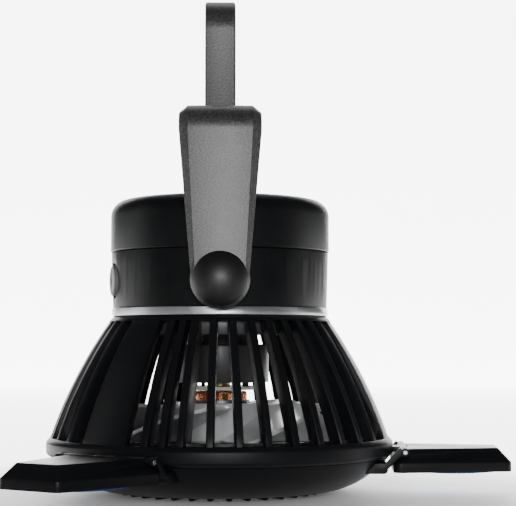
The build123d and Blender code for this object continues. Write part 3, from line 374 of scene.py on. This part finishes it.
def make_materials():
    """One material for each of the record's slots."""
    return {
        "grille_plastic": moulded("grille_plastic", (0.006, 0.0065, 0.008), 0.36, grain=0.20),
        "ring_plastic": moulded("ring_plastic", (0.007, 0.0075, 0.009), 0.40),
        "cage_plastic": moulded("cage_plastic", (0.007, 0.0075, 0.009), 0.38),
        "housing_plastic": moulded("housing_plastic", (0.005, 0.0055, 0.0065), 0.42, wear=0.2),
        "handle_plastic": moulded(
            "handle_plastic", (0.016, 0.016, 0.017), 0.42, grain_mm=0.8, grain=1.0, grain_depth=0.09,
            wear=0.1, spread=0.1, rough_drift=0.008, speckle=0.7, Specular_IOR_Level=1.0
        ),
        "knob_plastic": moulded(
            "knob_plastic", (0.004, 0.004, 0.005), 0.46, grain_mm=0.9, grain=0.6, grain_depth=0.08, wear=0.15,
            Specular_IOR_Level=0.7
        ),
        "wing_plastic": moulded("wing_plastic", (0.006, 0.0065, 0.008), 0.38),
        "motor_plastic": moulded("motor_plastic", (0.042, 0.043, 0.046), 0.34, Specular_IOR_Level=0.4),
        "fan_plastic": moulded(
            "fan_plastic", (0.66, 0.67, 0.68), 0.30, grain=0.05, wear=0.2, spread=0.05,
            Specular_IOR_Level=0.5, Coat_Weight=0.2
        ),
        "trim_silver": silver_paint(),
        "lens_blue": blue_lens(),
        "button_rubber": moulded("button_rubber", (0.17, 0.17, 0.175), 0.55, grain=0.3, spread=0.08),
        "switch_plastic": moulded("switch_plastic", (0.08, 0.08, 0.085), 0.45),
        "tray_plastic": moulded("tray_plastic", (0.10, 0.10, 0.11), 0.50),
        "washer_nylon": moulded("washer_nylon", (0.55, 0.55, 0.52), 0.45, spread=0.05),
        "circuit_board": board("circuit_board", (0.03, 0.14, 0.07), (0.06, 0.22, 0.12)),
        "motor_board_white": board("motor_board_white", (0.74, 0.72, 0.65), (0.62, 0.60, 0.52)),
        "lamp_board": board("lamp_board", (0.75, 0.76, 0.74), (0.62, 0.62, 0.58)),
        "lamp_phosphor": moulded("lamp_phosphor", (0.80, 0.68, 0.22), 0.35, spread=0.05),
        "electronic_parts": moulded("electronic_parts", (0.03, 0.03, 0.035), 0.40),
        "socket_steel": metal("socket_steel", (0.60, 0.61, 0.62), 0.28),
        "screw_steel": metal("screw_steel", (0.48, 0.48, 0.50), 0.32),
        "bearing_steel": metal("bearing_steel", (0.55, 0.56, 0.58), 0.22),
        "core_steel": metal("core_steel", (0.22, 0.22, 0.23), 0.38, stretch=(1.0, 1.0, 20.0)),
        "contact_nickel": metal("contact_nickel", (0.62, 0.60, 0.56), 0.30),
        "brass_tube": metal("brass_tube", (0.60, 0.45, 0.20), 0.28),
        "copper_wire": enamelled_copper(),
        "magnet_rubber": moulded("magnet_rubber", (0.04, 0.04, 0.04), 0.60),
        "cell_wrap": moulded("cell_wrap", (0.04, 0.16, 0.36), 0.25, grain=0.08, Coat_Weight=0.3),
        "lead_insulation": moulded("lead_insulation", (0.028, 0.028, 0.028), 0.50),
    }


# ---- Making pieces

def new_piece(name, mesh, body, slot, *replaced):
    """A visible piece that rides a body and is shown in place of the CAD nodes it replaces."""
    piece = bpy.data.objects.new(name, mesh)
    SCENE.collection.objects.link(piece)
    mesh.materials.clear()
    mesh.materials.append(MATERIALS[slot])
    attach(piece, body)
    if replaced:
        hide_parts(*replaced)
    return piece


def shade_by_angle(mesh, degrees):
    """Smooth faces with sharp edges wherever the surface turns by more than an angle."""
    form = bmesh.new()
    form.from_mesh(mesh)
    limit = math.radians(degrees)
    for face in form.faces:
        face.smooth = True
    for edge in form.edges:
        edge.smooth = len(edge.link_faces) == 2 and edge.calc_face_angle(0.0) < limit
    form.to_mesh(mesh)
    form.free()


def softened(node, width_mm, segments=2, turn_degrees=30.0, merge_flat=True):
    """A copy of a CAD node with its outer and inner edges rounded, shown in its place."""
    mesh = NODES[node].data.copy()
    form = bmesh.new()
    form.from_mesh(mesh)
    bmesh.ops.remove_doubles(form, verts=form.verts, dist=0.000002)
    if merge_flat:
        bmesh.ops.dissolve_limit(
            form, angle_limit=math.radians(0.4), verts=form.verts[:], edges=form.edges[:]
        )
    form.to_mesh(mesh)
    form.free()
    piece = new_piece(node + "_soft", mesh, BODY_OF[node], SLOT_OF[node], node)
    bevel = piece.modifiers.new("round", "BEVEL")
    bevel.width = width_mm * MM
    bevel.segments = segments
    bevel.limit_method = "ANGLE"
    bevel.angle_limit = math.radians(turn_degrees)
    bevel.miter_outer = "MITER_ARC"
    graph = bpy.context.evaluated_depsgraph_get()
    rounded = bpy.data.meshes.new_from_object(piece.evaluated_get(graph))
    piece.modifiers.clear()
    piece.data = rounded
    shade_by_angle(rounded, 40.0)
    return piece


def form_mesh(name, vertices, faces, smooth_degrees=40.0):
    """A mesh from points in millimetres, with its faces turned outwards."""
    mesh = bpy.data.meshes.new(name)
    mesh.from_pydata([tuple(value * MM for value in vertex) for vertex in vertices], [], faces)
    form = bmesh.new()
    form.from_mesh(mesh)
    bmesh.ops.recalc_face_normals(form, faces=form.faces)
    form.to_mesh(mesh)
    form.free()
    shade_by_angle(mesh, smooth_degrees)
    return mesh


def ring_faces(first, rings, sides, close_rings):
    """Quads between rings of vertices that follow each other from a first index."""
    faces = []
    last = rings if close_rings else rings - 1
    for ring in range(last):
        near = first + ring * sides
        far = first + (ring + 1) % rings * sides
        for side in range(sides):
            other = (side + 1) % sides
            faces.append((near + side, near + other, far + other, far + side))
    return faces


def arc_points(centre, radius, start, end, count):
    """Points of an arc, as (radius, height) pairs, between two angles in degrees."""
    points = []
    for step in range(count):
        angle = math.radians(start + (end - start) * step / (count - 1))
        points.append((centre[0] + radius * math.cos(angle), centre[1] + radius * math.sin(angle)))
    return points


def turned_form(profile, place, sides=96):
    """Vertices and faces of a shape turned from (radius, height) points; place() sets each point down."""
    vertices = []
    for radius, height in profile:
        for side in range(sides):
            angle = 2 * math.pi * side / sides
            vertices.append(place(radius * math.cos(angle), radius * math.sin(angle), height))
    faces = ring_faces(0, len(profile), sides, False)
    faces.append(tuple(range(sides)))
    faces.append(tuple(range((len(profile) - 1) * sides, len(profile) * sides)))
    return vertices, faces


def dome_profile(rim_radius, rim_height, top_height, count=14):
    """A shallow dome over a rim, as (radius, height) points that end close to the axis."""
    rise = top_height - rim_height
    sphere = (rim_radius ** 2 + rise ** 2) / (2 * rise)
    points = []
    for step in range(count):
        radius = rim_radius * (1 - step / (count - 0.7))
        points.append((radius, top_height - sphere + math.sqrt(sphere ** 2 - radius ** 2)))
    return points


PIVOT_Z = 99.1
KNOB_SEAT_Y = 60.0
KNOB_RADIUS = 12.3
KNOB_HEIGHT = 7.0


def make_knobs():
    """The two pivot caps: a small foot, a rounded rim and a domed face."""
    foot = KNOB_RADIUS - 0.7
    profile = [(0.2, 0.05), (foot - 0.2, 0.05), (foot, 0.2), (foot, 0.5), (foot + 0.3, 0.65)]
    profile += arc_points((KNOB_RADIUS - 0.62, 1.25), 0.6, -60, 60, 6)
    profile += dome_profile(KNOB_RADIUS - 0.45, 1.95, KNOB_HEIGHT - 0.02)
    vertices, faces = [], []
    for side in (-1, 1):
        first = len(vertices)
        knob, knob_faces = turned_form(
            profile, lambda x, y, height: (x, side * (KNOB_SEAT_Y + height), PIVOT_Z + y)
        )
        vertices += knob
        faces += [tuple(first + index for index in face) for face in knob_faces]
    mesh = form_mesh("pivot_knobs_turned", vertices, faces)
    new_piece("pivot_knobs_turned", mesh, BODY_OF["pivot_knobs"], SLOT_OF["pivot_knobs"], "pivot_knobs")


COIL_COUNT = 9
COIL_MIDDLE_Z = 38.4
COIL_HALF_HEIGHT = 9.0
COIL_HALF_WIDTH = 2.4
COIL_CORNER = 1.2
COIL_INNER_RADIUS = 7.75
TURNS = 8
TURN_PITCH = 0.64
LAYERS = 2
LAYER_SHIFT = 0.3
LAYER_DEPTH = 0.45
WIRE_RADIUS = 0.34
WIRE_SIDES = 6
WINDING_SEED = 7


def coil_loop(radius, half_width, half_height, wobble):
    """The middle line of one turn of wire round a stator tooth."""
    points = []
    centres = ((1, 1), (-1, 1), (-1, -1), (1, -1))
    for quarter, (side_y, side_z) in enumerate(centres):
        for step in range(4):
            angle = math.radians(90 * quarter + 30 * step)
            y = side_y * (half_width - COIL_CORNER) + COIL_CORNER * math.cos(angle)
            z = side_z * (half_height - COIL_CORNER) + COIL_CORNER * math.sin(angle)
            points.append(Vector((radius + wobble.uniform(-0.05, 0.05), y, COIL_MIDDLE_Z + z)))
    return points


def wire_points(loop, turned_by):
    """Points round the wire along a closed loop, turned to the place of its coil."""
    out = Vector((1.0, 0.0, 0.0))
    points = []
    for index, middle in enumerate(loop):
        along = (loop[(index + 1) % len(loop)] - loop[index - 1]).normalized()
        across = along.cross(out).normalized()
        for side in range(WIRE_SIDES):
            angle = 2 * math.pi * side / WIRE_SIDES
            offset = WIRE_RADIUS * (math.cos(angle) * out + math.sin(angle) * across)
            points.append(tuple(turned_by @ (middle + offset)))
    return points


def make_windings():
    """Enamelled wire, wound turn by turn round each tooth of the stator."""
    wobble = random.Random(WINDING_SEED)
    vertices, faces = [], []
    for coil in range(COIL_COUNT):
        turned_by = Matrix.Rotation(2 * math.pi * coil / COIL_COUNT, 3, "Z")
        for turn in range(TURNS):
            for layer in range(LAYERS):
                radius = COIL_INNER_RADIUS + turn * TURN_PITCH + LAYER_SHIFT * layer
                grow = wobble.uniform(-0.08, 0.08) - LAYER_DEPTH * layer
                loop = coil_loop(radius, COIL_HALF_WIDTH + grow, COIL_HALF_HEIGHT + grow, wobble)
                faces += ring_faces(len(vertices), len(loop), WIRE_SIDES, True)
                vertices += wire_points(loop, turned_by)
    mesh = form_mesh("stator_windings_wound", vertices, faces, 80.0)
    node = "stator_windings"
    new_piece("stator_windings_wound", mesh, BODY_OF[node], SLOT_OF[node], node)


MATERIALS = make_materials()
make_camera()
make_studio()

for node_name, node in NODES.items():
    node.data.materials.clear()
    node.data.materials.append(MATERIALS[SLOT_OF[node_name]])

SOFT_EDGES_MM = {
    "handle": 0.5,
    "hook": 0.4,
    "lower_housing": 0.3,
    "lid": 0.3,
    "trim_ring": 0.25,
    "cage": 0.3,
    "outer_ring": 0.3,
    "front_grille": 0.35,
    "motor_bracket": 0.3,
    "button": 0.2,
}
for wing in (1, 2, 3):
    SOFT_EDGES_MM[f"wing_cover_{wing}"] = 0.5
    SOFT_EDGES_MM[f"wing_lens_{wing}"] = 0.4
    SOFT_EDGES_MM[f"wing_bracket_{wing}"] = 0.3
for node_name, edge_mm in SOFT_EDGES_MM.items():
    softened(node_name, edge_mm)
softened("fan", 0.2, segments=1, turn_degrees=50.0, merge_flat=False)

make_knobs()
make_windings()
